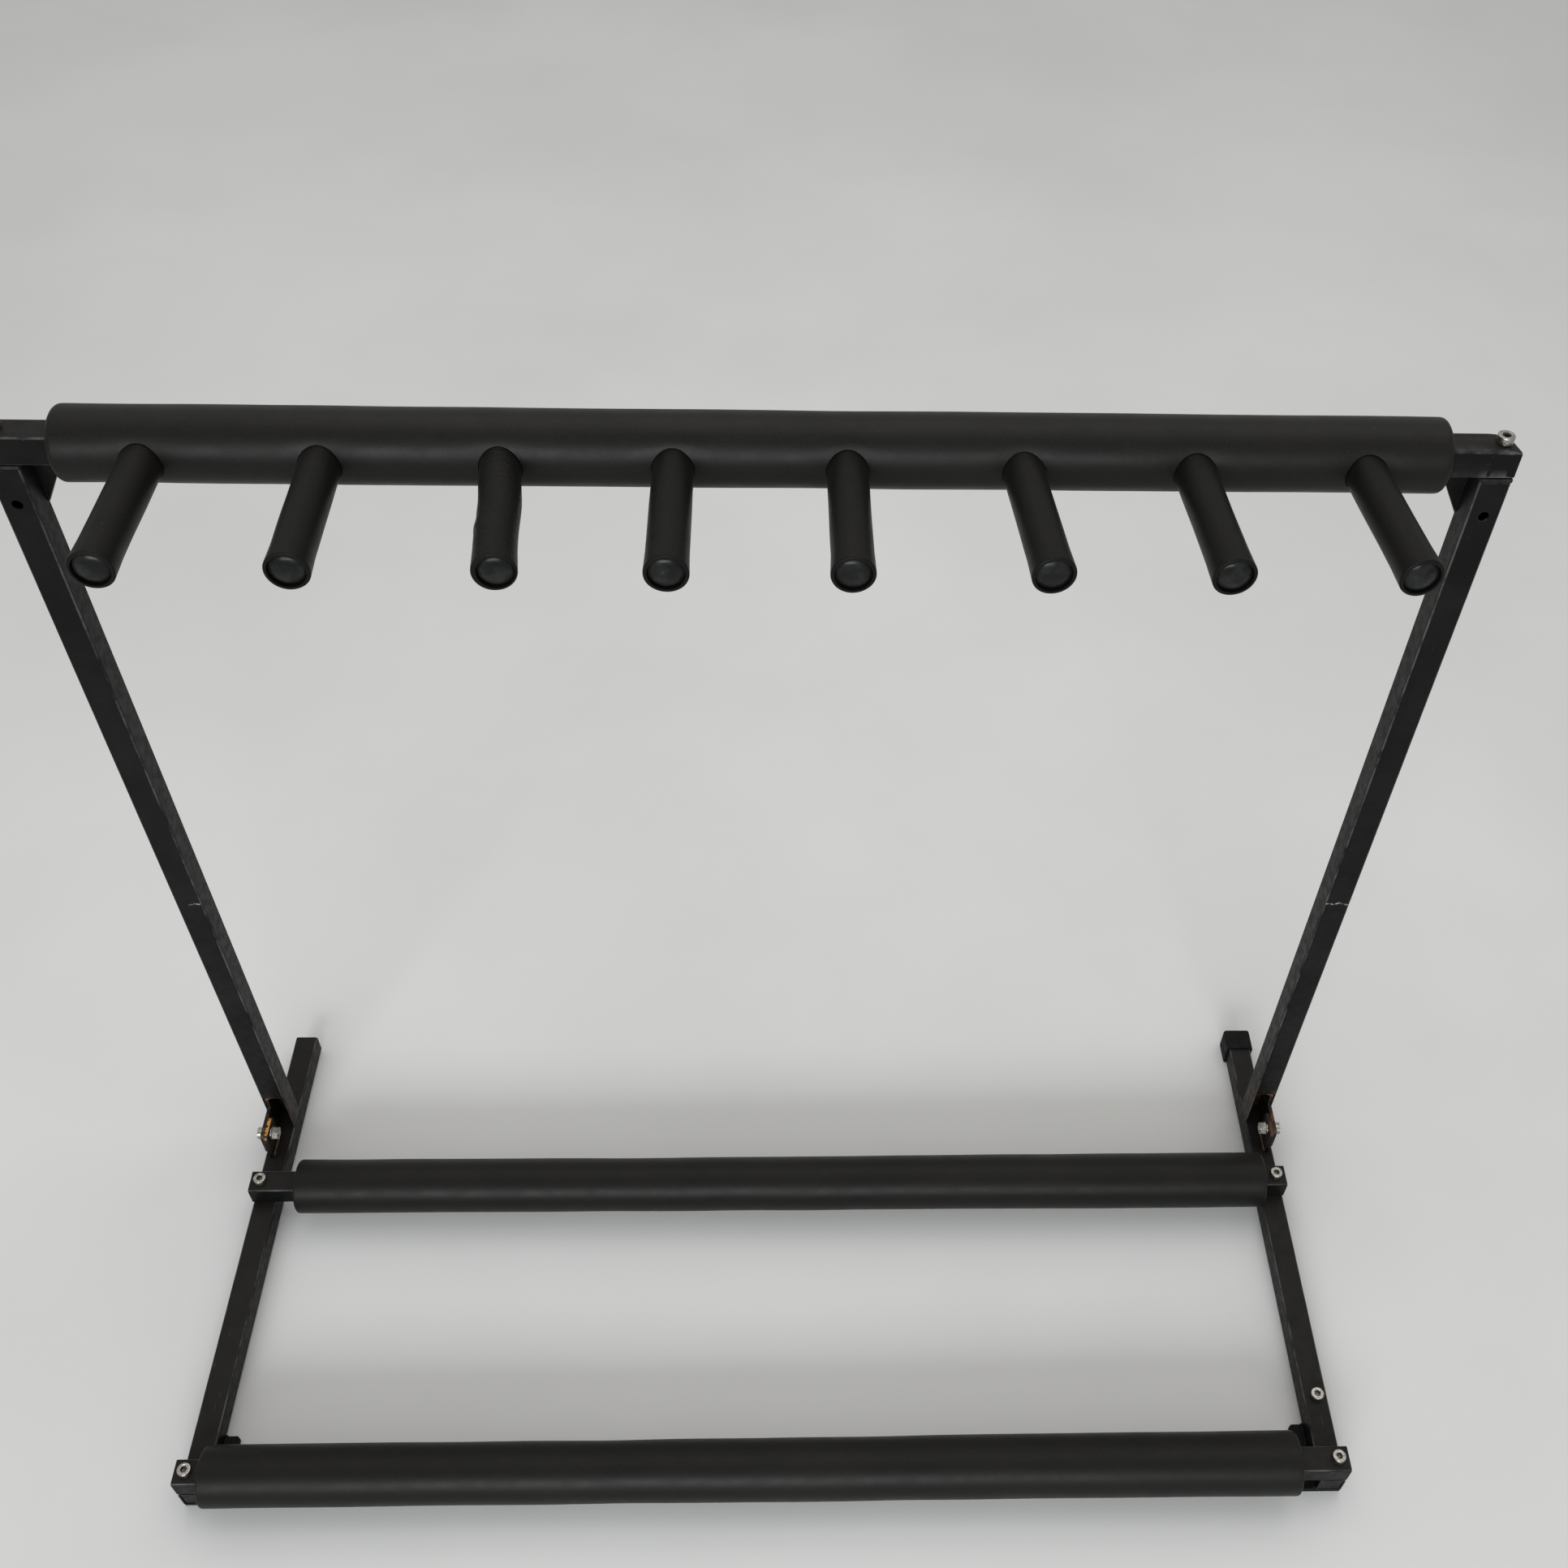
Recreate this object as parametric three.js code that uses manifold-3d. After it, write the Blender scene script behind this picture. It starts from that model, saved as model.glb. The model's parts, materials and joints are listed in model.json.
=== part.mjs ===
// Folding guitar rack for seven guitars: a low base of two legs and two padded crossbars, and an
// upper frame of two uprights and a padded top bar with eight padded pegs. The upper frame hinges
// forward on two pivot bolts until the uprights rest on the front crossbar's screw heads.
//
// Millimetres, +Z up, -Y is the front, where the guitars stand. The origin lies on the floor, under
// the middle of the rack's bounding box.

import * as THREE from 'three';
import { mergeVertices } from 'three/addons/utils/BufferGeometryUtils.js';
import Module from 'manifold-3d';

const wasm = await Module();
wasm.setup();

// ---------------------------------------------------------------------------------------------
// Driving dimensions

const gap = 0.3; // between pieces that touch

// square steel tube, the same everywhere
const tubeSize = 20;
const tubeWall = 1.2;
const tubeRadius = 2;

// overall
const barLength = 912; // all three bars, end to end
const barSpacing = 250; // front crossbar to rear crossbar, centre to centre
const legRearReach = 164.5; // leg's rear end, behind the rear crossbar's centre
const uprightLength = 721;

// hinge
const pivotSetback = 47; // pivot axis behind the rear crossbar's centre
const pivotRise = 21.5; // pivot axis above the top of the legs
const uprightSetback = 20; // upright's front face behind the pivot axis
const plateThickness = 3; // ear, tab and gusset
const plateMargin = 8; // from the pivot axis to a hinge plate's top edge
const tabNose = 9.5; // from the pivot axis to the tab's front edge
const earNose = 12; // from the pivot axis to the ear's front edge
const earTail = 13; // from the pivot axis to the ear's rear edge
const plateCorner = 3; // cut corners of the hinge plates
const tabFootRise = 3; // bottom of the tab above the leg
const windowHeight = 46; // open front of the upright's lower end
const windowMargin = 4; // from the top of the window to the top of the tab

// screws and bolts, M6
const shankDiameter = 6;
const holePlay = 0.6; // on the diameter
const headDiameter = 10.5;
const headHeight = 5;
const headRim = 0.7; // bevel of a screw head
const socketWidth = 5; // across the flats
const socketDepth = 3;
const screwInset = 9; // screw axis from a bar's end
const legScrewGrip = 9; // how far a crossbar screw reaches into the leg
const spareScrewSetback = 58.5; // spare screw behind the front crossbar's centre
const boltHeadHeight = 4.2; // pivot bolt's domed head
const boltHeadEdge = 1; // straight edge below the dome
const nutWidth = 10; // across the flats
const nutThickness = 5;
const boltTail = 1; // bolt beyond its nut
const washerDiameter = 12;
const washerThickness = 1.2;

// feet, cap and plugs
const soleThickness = 2; // rubber under the legs
const footLength = 52;
const footReach = 11.5; // foot's flange beyond the leg's inner side
const footWall = 2.5; // foot's wall against the leg's inner side
const footHeadroom = 1.1; // foot's wall below the front sleeve
const footStep = 2.5; // foot's flange below the top of its wall
const capDepth = 17.5; // of the leg inside the rear cap
const capWall = 2;
const capEnd = 4; // rear cap's closed end
const plugDepth = 5.5; // leg plug, short of the crossbar screw
const plugRecess = 0.6; // leg plug's face behind the leg's end
const flangeThickness = 2.5; // upright plug, between the upright and the top bar
const uprightPlugDepth = 18;
const topScrewGrip = 14; // top screw inside the upright plug
const stubPlay = 0.3; // plug in a tube, each side

// fixing hole left open in the upright's front face
const spareHoleDiameter = 7;
const spareHoleDrop = 25; // below the upright's top

// gusset between upright and top bar
const gussetWidth = 21;
const gussetHeight = 38;

// foam sleeves
const foamRadius = 23;
const foamShoulder = 5; // rounded end of a sleeve
const foamPlay = 0.4; // sleeve around a bar, each side
const crossbarFoamLength = 850;
const foamLegGap = 1; // between a crossbar sleeve's nearer end and the inner side of the leg
const topFoamGussetGap = 3.2; // between each end of the top sleeve and the gusset below it

// pegs
const pegPitch = 102.5;
const pegReach = 118; // top bar's centre line to the sleeve's tip
const pegSplay = [0, 1, 6, 1, 1, 5, 4, 5]; // degrees that each peg has been knocked towards +X
const pegTubeDiameter = 20;
const pegCapDiameter = 21;
const pegCapRim = 2;
const pegDomeHeight = 4;
const pegDomeRise = 0.5; // top of the dome beyond the sleeve's tip
const pegCapStub = 10;
const pegFoamDiameter = 26;
const pegFoamLip = 1; // bevelled tip of a peg sleeve

const arcSegments = 2; // per quarter turn of a small corner
const roundSegments = 16;
const foamSegments = 24;

// ---------------------------------------------------------------------------------------------
// Sizes that follow

const half = barLength / 2;
const legTop = soleThickness + gap + tubeSize;
const legX = half - tubeSize / 2;
const legFront = -barSpacing - tubeSize / 2;
const legLength = legRearReach - legFront;
const legMiddle = (legFront + legRearReach) / 2;
const innerSize = tubeSize - 2 * tubeWall;
const shankHole = shankDiameter + holePlay;
const crossbarZ = legTop + gap + tubeSize / 2;
const crossbarFoamInset = tubeSize + foamLegGap; // sleeve's nearer end from its bar's end
const topFoamLength = barLength - 2 * (tubeSize + gap + gussetWidth + topFoamGussetGap);
const footWallHeight = crossbarZ - foamRadius - footHeadroom;
const footFlangeHeight = footWallHeight - footStep;
const pivotZ = legTop + pivotRise;
const uprightY = pivotSetback + uprightSetback + tubeSize / 2;
const uprightBottom = legTop + gap;
const uprightTop = uprightBottom + uprightLength;
const topBarZ = uprightTop + gap + flangeThickness + gap + tubeSize / 2;

// the rack's front is the front sleeve, its back is the rear cap
const rackFront = -barSpacing - foamRadius;
const rackBack = legRearReach + gap + capEnd;
const centreShift = -(rackFront + rackBack) / 2;

// hinge stack, inwards from the leg's outer face
const tabOffset = tubeWall + gap;
const headOffset = tabOffset - gap;
const earOffset = tabOffset + plateThickness + gap;
const washerOffset = earOffset + plateThickness + gap;
const nutOffset = washerOffset + washerThickness + gap;
const boltEndOffset = nutOffset + nutThickness + boltTail;

// ---------------------------------------------------------------------------------------------
// Materials

const finish = (color, roughness, metalness) =>
  new THREE.MeshStandardMaterial({ color, roughness, metalness });

const blackPaint = finish(0x1d1d1e, 0.42, 0.35);
const blackFoam = finish(0x191919, 0.85, 0);
const zincSteel = finish(0xbfbfba, 0.35, 0.9);
const blackPlastic = finish(0x151516, 0.4, 0);
const blackRubber = finish(0x121212, 0.75, 0);

// ---------------------------------------------------------------------------------------------
// Solids

function toManifold(geometry) {
  const bare = geometry.clone();
  bare.deleteAttribute('normal');
  bare.deleteAttribute('uv');
  const merged = mergeVertices(bare, 1e-4);
  return new wasm.Manifold(new wasm.Mesh({
    numProp: 3,
    vertProperties: new Float32Array(merged.attributes.position.array),
    triVerts: new Uint32Array(merged.index.array),
  }));
}

function toGeometry(manifold) {
  const mesh = manifold.getMesh();
  const geometry = new THREE.BufferGeometry();
  geometry.setAttribute('position', new THREE.BufferAttribute(mesh.vertProperties, 3));
  geometry.setIndex(new THREE.BufferAttribute(mesh.triVerts, 1));
  geometry.computeVertexNormals();
  return geometry;
}

function cut(geometry, cutters) {
  const whole = toManifold(geometry);
  return toGeometry(cutters.reduce((left, cutter) => left.subtract(toManifold(cutter)), whole));
}

function join(geometries) {
  return toGeometry(geometries.map(toManifold).reduce((sum, next) => sum.add(next)));
}

function box(width, depth, height, x = 0, y = 0, z = 0) {
  return new THREE.BoxGeometry(width, depth, height).translate(x, y, z);
}

// a closed outline with rounded corners, centred on the origin
function roundedSquare(path, size, radius) {
  const edge = size / 2 - radius;
  path.moveTo(edge + radius, -edge);
  path.absarc(edge, edge, radius, 0, Math.PI / 2);
  path.absarc(-edge, edge, radius, Math.PI / 2, Math.PI);
  path.absarc(-edge, -edge, radius, Math.PI, 1.5 * Math.PI);
  path.absarc(edge, -edge, radius, 1.5 * Math.PI, 2 * Math.PI);
  return path;
}

function extrude(shape, depth) {
  const options = { depth, bevelEnabled: false, curveSegments: arcSegments };
  return new THREE.ExtrudeGeometry(shape, options);
}

// square tube along +Z, centred on the origin
function squareTube(length) {
  const shape = roundedSquare(new THREE.Shape(), tubeSize, tubeRadius);
  shape.holes.push(roundedSquare(new THREE.Path(), innerSize, tubeRadius - tubeWall));
  return extrude(shape, length).translate(0, 0, -length / 2);
}

// solid of revolution about Z from [radius, z] points that start and end on the axis
function turned(points, segments = roundSegments) {
  return new THREE.LatheGeometry(points.map(([r, z]) => new THREE.Vector2(r, z)), segments)
    .rotateX(Math.PI / 2);
}

// round bar along Z, centred on the origin
function rod(diameter, length, segments = roundSegments) {
  const r = diameter / 2;
  const end = length / 2;
  return turned([[0, -end], [r, -end], [r, end], [0, end]], segments);
}

// quarter of an arc as [radius, z] points
function arc(centreR, centreZ, radius, from, to) {
  return Array.from({ length: arcSegments + 1 }, (_, i) => {
    const angle = from + ((to - from) * i) / arcSegments;
    return [centreR + radius * Math.cos(angle), centreZ + radius * Math.sin(angle)];
  });
}

function hexPrism(width, length) {
  return new THREE.CylinderGeometry(width / Math.sqrt(3), width / Math.sqrt(3), length, 6)
    .rotateX(Math.PI / 2);
}

// dome over a round rim at z = base, from the rim to the axis
function dome(radius, rise, base) {
  const steps = 2 * arcSegments;
  return Array.from({ length: steps + 1 }, (_, i) => {
    const angle = (Math.PI / 2) * (i / steps);
    return [i < steps ? radius * Math.cos(angle) : 0, base + rise * Math.sin(angle)];
  });
}

// flat plate standing in the YZ plane, outline as [y, z] points, centred on X = 0
function standingPlate(outline) {
  const shape = new THREE.Shape(outline.map(([y, z]) => new THREE.Vector2(y, z)));
  return extrude(shape, plateThickness)
    .translate(0, 0, -plateThickness / 2)
    .applyMatrix4(new THREE.Matrix4().makeBasis(
      new THREE.Vector3(0, 1, 0), new THREE.Vector3(0, 0, 1), new THREE.Vector3(1, 0, 0)));
}

// socket head screw along Z, underside of the head at z = 0, shank downwards
function socketScrew(shankLength) {
  const head = headDiameter / 2;
  const shank = shankDiameter / 2;
  const body = turned([
    [0, -shankLength], [shank, -shankLength], [shank, 0], [head, 0],
    [head, headHeight - headRim], [head - headRim, headHeight], [0, headHeight],
  ]);
  const socket = hexPrism(socketWidth, 2 * socketDepth).translate(0, 0, headHeight);
  return cut(body, [socket]);
}

// ---------------------------------------------------------------------------------------------
// Scene graph

const rack = new THREE.Group();
rack.position.set(0, centreShift, 0);

const base = new THREE.Group();
const upperFrame = new THREE.Group();
rack.add(base, upperFrame);

function add(parent, name, geometry, material, x, y, z) {
  const mesh = new THREE.Mesh(geometry, material);
  mesh.name = name;
  mesh.position.set(x, y, z);
  parent.add(mesh);
  return mesh;
}

const sides = [['left', -1], ['right', 1]];

// ---------------------------------------------------------------------------------------------
// Base

// a leg runs along Y, with a hole for each crossbar screw
function legGeometry(side, screwY) {
  const tube = squareTube(legLength).rotateX(Math.PI / 2);
  const screwX = side * (half - screwInset - legX);
  const holes = screwY.map((y) =>
    rod(shankHole, tubeSize).translate(screwX, y - legMiddle, tubeSize / 2));
  return cut(tube, holes);
}

for (const [label, side] of sides) {
  const spare = side > 0 ? [-barSpacing + spareScrewSetback] : [];
  const screwY = [-barSpacing, 0, ...spare];
  add(base, `leg_${label}`, legGeometry(side, screwY), blackPaint,
    side * legX, legMiddle, legTop - tubeSize / 2);
}

// a bar runs along X, drilled through at both ends
function barGeometry() {
  const tube = squareTube(barLength).rotateY(Math.PI / 2);
  const holes = sides.map(([, side]) =>
    rod(shankHole, 2 * tubeSize).translate(side * (half - screwInset), 0, 0));
  return cut(tube, holes);
}

// foam sleeve along X with a square bore
function barFoam(length, holes = []) {
  const end = length / 2;
  const edge = foamRadius - foamShoulder;
  const profile = [
    [0, -end],
    ...arc(edge, -end + foamShoulder, foamShoulder, -Math.PI / 2, 0),
    ...arc(edge, end - foamShoulder, foamShoulder, 0, Math.PI / 2),
    [0, end],
  ];
  const bore = tubeSize + 2 * foamPlay;
  const outer = turned(profile, foamSegments).rotateY(Math.PI / 2);
  return cut(outer, [box(length + 2, bore, bore), ...holes]);
}

// both crossbar sleeves are the same; each has slid towards one end of its bar
const foamSlide = half - crossbarFoamInset - crossbarFoamLength / 2;
const crossbars = [['front', -barSpacing, -foamSlide], ['rear', 0, foamSlide]];

for (const [label, y, slide] of crossbars) {
  add(base, `${label}_crossbar`, barGeometry(), blackPaint, 0, y, crossbarZ);
  add(base, `${label}_crossbar_foam`, barFoam(crossbarFoamLength), blackFoam, slide, y, crossbarZ);
  for (const [end, side] of sides) {
    const screw = socketScrew(tubeSize + 2 * gap + legScrewGrip);
    add(base, `${label}_screw_${end}`, screw, zincSteel,
      side * (half - screwInset), y, crossbarZ + tubeSize / 2 + gap);
  }
}

add(base, 'spare_leg_screw', socketScrew(gap + legScrewGrip), zincSteel,
  half - screwInset, -barSpacing + spareScrewSetback, legTop + gap);

// front foot: a sole under the leg, a wall against the leg's inner side and a low flange beyond it;
// the wall and flange have their rear corners cut
function footGeometry(side) {
  const inner = tubeSize / 2 + gap;
  const reach = tubeSize / 2 + footReach;
  const section = new THREE.Shape([
    [-tubeSize / 2, 0], [reach, 0], [reach, footFlangeHeight], [inner + footWall, footFlangeHeight],
    [inner + footWall, footWallHeight], [inner, footWallHeight], [inner, soleThickness],
    [-tubeSize / 2, soleThickness],
  ].map(([inwards, z]) => new THREE.Vector2(-side * inwards, z)));
  const body = extrude(section, footLength).translate(0, 0, -footLength / 2).rotateX(Math.PI / 2);
  const corner = box(footWall, footWall, 3 * footWallHeight).rotateZ(Math.PI / 4)
    .translate(-side * reach, footLength / 2, 0);
  return cut(body, [corner]);
}

// square plug for the end of a tube, along Y, face at y = 0, body towards +Y
function legPlug() {
  const size = innerSize - 2 * stubPlay;
  return box(size, plugDepth, size, 0, plugDepth / 2, 0);
}

for (const [label, side] of sides) {
  add(base, `front_foot_${label}`, footGeometry(side), blackRubber,
    side * legX, legFront + footLength / 2, 0);
  add(base, `leg_plug_${label}`, legPlug(), blackPlastic,
    side * legX, legFront + plugRecess, legTop - tubeSize / 2);
}

// slip-on cap at the right leg's rear end; its sole reaches the floor
function rearCap() {
  const bore = tubeSize + 2 * gap;
  const wide = bore + 2 * capWall;
  const tall = soleThickness + bore + capWall;
  const length = capDepth + gap + capEnd;
  const outer = box(wide, length, tall, 0, -length / 2, tall / 2);
  const hollow = box(bore, length, bore, 0, -length / 2 - capEnd, soleThickness + bore / 2);
  return cut(outer, [hollow]);
}

add(base, 'rear_cap_right', rearCap(), blackRubber, legX, rackBack, 0);

// hinge ear: a plate standing on the leg, around the pivot
function earGeometry() {
  const foot = gap - pivotRise;
  const outline = [
    [-earNose, foot],
    [earTail, foot],
    [earTail, plateMargin - plateCorner],
    [earTail - plateCorner, plateMargin],
    [plateCorner - earNose, plateMargin],
    [-earNose, plateMargin - plateCorner],
  ];
  return cut(standingPlate(outline), [rod(shankHole, 3 * plateThickness).rotateY(Math.PI / 2)]);
}

// pivot bolt along +X, underside of its domed head at x = 0
function pivotBolt() {
  const head = headDiameter / 2;
  const shank = shankDiameter / 2;
  const length = boltEndOffset - headOffset;
  const cap = dome(head, boltHeadHeight - boltHeadEdge, boltHeadEdge);
  return turned([
    [0, -length], [shank, -length], [shank, 0], [head, 0], ...cap,
  ]).rotateY(-Math.PI / 2);
}

for (const [label, side] of sides) {
  const inwards = (offset) => side * (half - offset);
  add(base, `hinge_ear_${label}`, earGeometry(), blackPaint,
    inwards(earOffset + plateThickness / 2), pivotSetback, pivotZ);
  const bolt = add(base, `pivot_bolt_${label}`, pivotBolt(), zincSteel,
    inwards(headOffset), pivotSetback, pivotZ);
  bolt.rotation.z = side > 0 ? Math.PI : 0;
  const washer = cut(rod(washerDiameter, washerThickness), [rod(shankHole, 3 * washerThickness)]);
  add(base, `pivot_washer_${label}`, washer.rotateY(Math.PI / 2), zincSteel,
    inwards(washerOffset + washerThickness / 2), pivotSetback, pivotZ);
  const nut = cut(hexPrism(nutWidth, nutThickness), [rod(shankHole, 3 * nutThickness)]);
  add(base, `pivot_nut_${label}`, nut.rotateY(Math.PI / 2), zincSteel,
    inwards(nutOffset + nutThickness / 2), pivotSetback, pivotZ);
}

// ---------------------------------------------------------------------------------------------
// Upper frame

// upright along Z: open front at its foot for the hinge tab, and a spare fixing hole near its top
function uprightGeometry() {
  const bottom = -uprightLength / 2;
  const window = box(innerSize, 3 * tubeWall, 2 * windowHeight, 0, -tubeSize / 2, bottom);
  const hole = rod(spareHoleDiameter, tubeSize).rotateX(Math.PI / 2)
    .translate(0, -tubeSize / 2, uprightLength / 2 - spareHoleDrop);
  return cut(squareTube(uprightLength), [window, hole]);
}

// hinge tab: welded inside the upright's open foot, it reaches forward to the pivot
function tabGeometry() {
  const foot = tabFootRise - pivotRise;
  const mouth = uprightSetback + tubeWall;
  const back = uprightSetback + tubeSize - tubeWall - gap;
  const top = windowHeight - windowMargin - pivotRise;
  const outline = [
    [plateCorner - tabNose, foot],
    [back, foot],
    [back, top],
    [mouth + plateCorner, top],
    [mouth, top - plateCorner],
    [mouth, plateMargin],
    [plateCorner - tabNose, plateMargin],
    [-tabNose, plateMargin - plateCorner],
    [-tabNose, foot + plateCorner],
  ];
  return cut(standingPlate(outline), [rod(shankHole, 3 * plateThickness).rotateY(Math.PI / 2)]);
}

// plug in the upright's top, threaded for the top screw, with a flange under the top bar
function uprightPlug(side) {
  const size = innerSize - 2 * stubPlay;
  const flange = box(tubeSize, tubeSize, flangeThickness, 0, 0, flangeThickness / 2);
  const stub = box(size, size, uprightPlugDepth + gap, 0, 0, (gap - uprightPlugDepth) / 2);
  const thread = rod(shankHole, 3 * uprightPlugDepth).translate(side * (half - screwInset - legX), 0, 0);
  return cut(join([flange, stub]), [thread]);
}

// triangular gusset in the XZ plane, right angle at the origin, arms inwards and down
function gussetGeometry(side) {
  const shape = new THREE.Shape([
    new THREE.Vector2(0, 0),
    new THREE.Vector2(-side * gussetWidth, 0),
    new THREE.Vector2(0, -gussetHeight),
  ]);
  return extrude(shape, plateThickness).rotateX(Math.PI / 2);
}

for (const [label, side] of sides) {
  add(upperFrame, `upright_${label}`, uprightGeometry(), blackPaint,
    side * legX, uprightY, (uprightBottom + uprightTop) / 2);
  add(upperFrame, `hinge_tab_${label}`, tabGeometry(), blackPaint,
    side * (half - tabOffset - plateThickness / 2), pivotSetback, pivotZ);
  add(upperFrame, `upright_plug_${label}`, uprightPlug(side), blackPlastic,
    side * legX, uprightY, uprightTop + gap);
  add(upperFrame, `gusset_${label}`, gussetGeometry(side), blackPaint,
    side * (half - tubeSize - gap), uprightY + tubeSize / 2, topBarZ - tubeSize / 2 - gap);
  const screw = socketScrew(tubeSize + 3 * gap + flangeThickness + topScrewGrip);
  add(upperFrame, `top_screw_${label}`, screw, zincSteel,
    side * (half - screwInset), uprightY, topBarZ + tubeSize / 2 + gap);
}

add(upperFrame, 'top_bar', barGeometry(), blackPaint, 0, uprightY, topBarZ);

// a peg points along its own -Y from the top bar's centre line, turned about Z by its splay
const pegs = pegSplay.map((degrees, i) => ({
  number: i + 1,
  x: (i - (pegSplay.length - 1) / 2) * pegPitch,
  turn: THREE.MathUtils.degToRad(degrees),
}));

// where a round piece of this diameter clears the top bar's front face
function pegStart(diameter, turn) {
  return (tubeSize / 2 + gap + (diameter / 2) * Math.sin(Math.abs(turn))) / Math.cos(turn);
}

// turns a solid along Z so that z becomes the distance out along the peg
function alongPeg(geometry) {
  return geometry.rotateX(Math.PI / 2);
}

const pegFoamHoles = pegs.map(({ x, turn }) => {
  const start = tubeSize / 2 + gap;
  const length = 2 * foamRadius;
  return alongPeg(rod(pegFoamDiameter + 2 * foamPlay, length, foamSegments)
    .translate(0, 0, start + length / 2)).rotateZ(turn).translate(x, 0, 0);
});

add(upperFrame, 'top_bar_foam', barFoam(topFoamLength, pegFoamHoles), blackFoam,
  0, uprightY, topBarZ);

// where the peg cap's rim sits on the end of the peg tube
const pegSeat = pegReach + pegDomeRise - pegDomeHeight - pegCapRim;

// peg tube: open steel tube, butted on the top bar's front face
function pegTube(start) {
  const end = pegSeat - gap;
  const length = end - start;
  const bore = rod(pegTubeDiameter - 2 * tubeWall, length + 2);
  return alongPeg(cut(rod(pegTubeDiameter, length), [bore]).translate(0, 0, (start + end) / 2));
}

// peg cap: a domed head with a stub inside the peg tube
function pegCap() {
  const head = pegCapDiameter / 2;
  const stub = pegTubeDiameter / 2 - tubeWall - stubPlay;
  return alongPeg(turned([
    [0, pegSeat - pegCapStub], [stub, pegSeat - pegCapStub], [stub, pegSeat], [head, pegSeat],
    ...dome(head, pegDomeHeight, pegSeat + pegCapRim),
  ]));
}

// peg sleeve: foam tube around the peg tube and its cap, bevelled at the tip
function pegFoam(start) {
  const outer = pegFoamDiameter / 2;
  const inner = pegCapDiameter / 2 + gap;
  const solid = turned([
    [0, start], [outer, start], [outer, pegReach - pegFoamLip],
    [outer - pegFoamLip, pegReach], [0, pegReach],
  ], foamSegments);
  const length = pegReach - start;
  const bore = rod(2 * inner, length + 2).translate(0, 0, start + length / 2);
  return alongPeg(cut(solid, [bore]));
}

for (const { number, x, turn } of pegs) {
  const peg = new THREE.Group();
  peg.position.set(x, uprightY, topBarZ);
  peg.rotation.z = turn;
  upperFrame.add(peg);
  add(peg, `peg_tube_${number}`, pegTube(pegStart(pegTubeDiameter, turn)), blackPaint, 0, 0, 0);
  add(peg, `peg_cap_${number}`, pegCap(), blackPlastic, 0, 0, 0);
  add(peg, `peg_foam_${number}`, pegFoam(pegStart(pegFoamDiameter, turn)), blackFoam, 0, 0, 0);
}

export default rack;
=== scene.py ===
import json
import math

import bpy
from mathutils import Matrix, Vector, noise

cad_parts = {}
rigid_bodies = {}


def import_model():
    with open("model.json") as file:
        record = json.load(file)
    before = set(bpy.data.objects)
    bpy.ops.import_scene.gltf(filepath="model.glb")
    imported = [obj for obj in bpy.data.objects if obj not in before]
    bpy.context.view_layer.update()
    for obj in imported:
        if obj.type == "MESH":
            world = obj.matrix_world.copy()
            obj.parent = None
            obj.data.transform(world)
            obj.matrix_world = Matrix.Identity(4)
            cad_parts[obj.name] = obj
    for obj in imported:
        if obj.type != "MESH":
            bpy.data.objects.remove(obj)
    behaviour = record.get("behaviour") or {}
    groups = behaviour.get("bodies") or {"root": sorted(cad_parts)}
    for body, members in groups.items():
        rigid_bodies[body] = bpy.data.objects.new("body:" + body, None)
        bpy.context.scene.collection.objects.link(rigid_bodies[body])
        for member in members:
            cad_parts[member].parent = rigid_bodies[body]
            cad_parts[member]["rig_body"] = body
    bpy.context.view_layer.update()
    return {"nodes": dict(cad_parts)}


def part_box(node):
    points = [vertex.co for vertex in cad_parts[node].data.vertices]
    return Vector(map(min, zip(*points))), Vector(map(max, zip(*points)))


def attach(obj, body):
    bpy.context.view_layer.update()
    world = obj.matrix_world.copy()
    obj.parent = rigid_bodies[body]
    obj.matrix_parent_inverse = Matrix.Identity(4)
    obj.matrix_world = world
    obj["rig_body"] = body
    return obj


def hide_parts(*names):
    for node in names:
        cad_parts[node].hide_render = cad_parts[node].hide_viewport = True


# Folding guitar rack: worn black square tube, foam sleeves, rubber feet and bright screws.
# Metres, +Z up, -Y towards the front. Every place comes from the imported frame.

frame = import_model()
nodes = frame["nodes"]

MM = 0.001
SIDES = (("left", -1), ("right", 1))

# tube, screws and plates
FINE_EDGE = 0.35 * MM
HEAD_SIDES = 48
HEAD_RIM = 0.7 * MM
SOCKET_ACROSS = 5.0 * MM
SOCKET_DEPTH = 2.8 * MM
SHANK_RADIUS = 3.0 * MM
END_CHAMFER = 0.6 * MM  # at the tip of a screw or bolt
SCREW_HEAD_HEIGHT = 5.0 * MM
BOLT_HEAD_HEIGHT = 4.2 * MM
BOLT_HEAD_EDGE = 1 * MM

# foam
SLEEVE_SIDES = 72
SLEEVE_SHOULDER = 2.2 * MM
TOP_SHOULDER = 4.0 * MM
SLEEVE_PLAY = 0.35 * MM
SLEEVE_SWELL = 1.1 * MM
SLEEVE_LIFT = 2.0 * MM
RING_SPACING = 3.5 * MM
PEG_SIDES = 48
PEG_LIP = 1.3 * MM
PEG_PLAY = 0.3 * MM
PEG_DIMPLE = 0.9 * MM
PEG_SLIM = 0.55 * MM
PEG_FLARE = 18 * MM
PEG_RINGS = 36
PEG_WAVER = 0.30 * MM
DIMPLE_REACH = 9 * MM
BORE_PLAY = 0.25 * MM
SLEEVE_WAVER = 0.45 * MM
SLEEVE_WAVE_LENGTH = 70 * MM


# ---------------------------------------------------------------------------------------------
# Work on one object at a time


def alone(piece):
    """Makes this the only selected object, and the active one."""
    bpy.ops.object.select_all(action="DESELECT")
    piece.select_set(True)
    bpy.context.view_layer.objects.active = piece


def settle(piece):
    """Puts the object's place, turn and scale into its mesh."""
    alone(piece)
    bpy.ops.object.transform_apply(location=True, rotation=True, scale=True)


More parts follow.
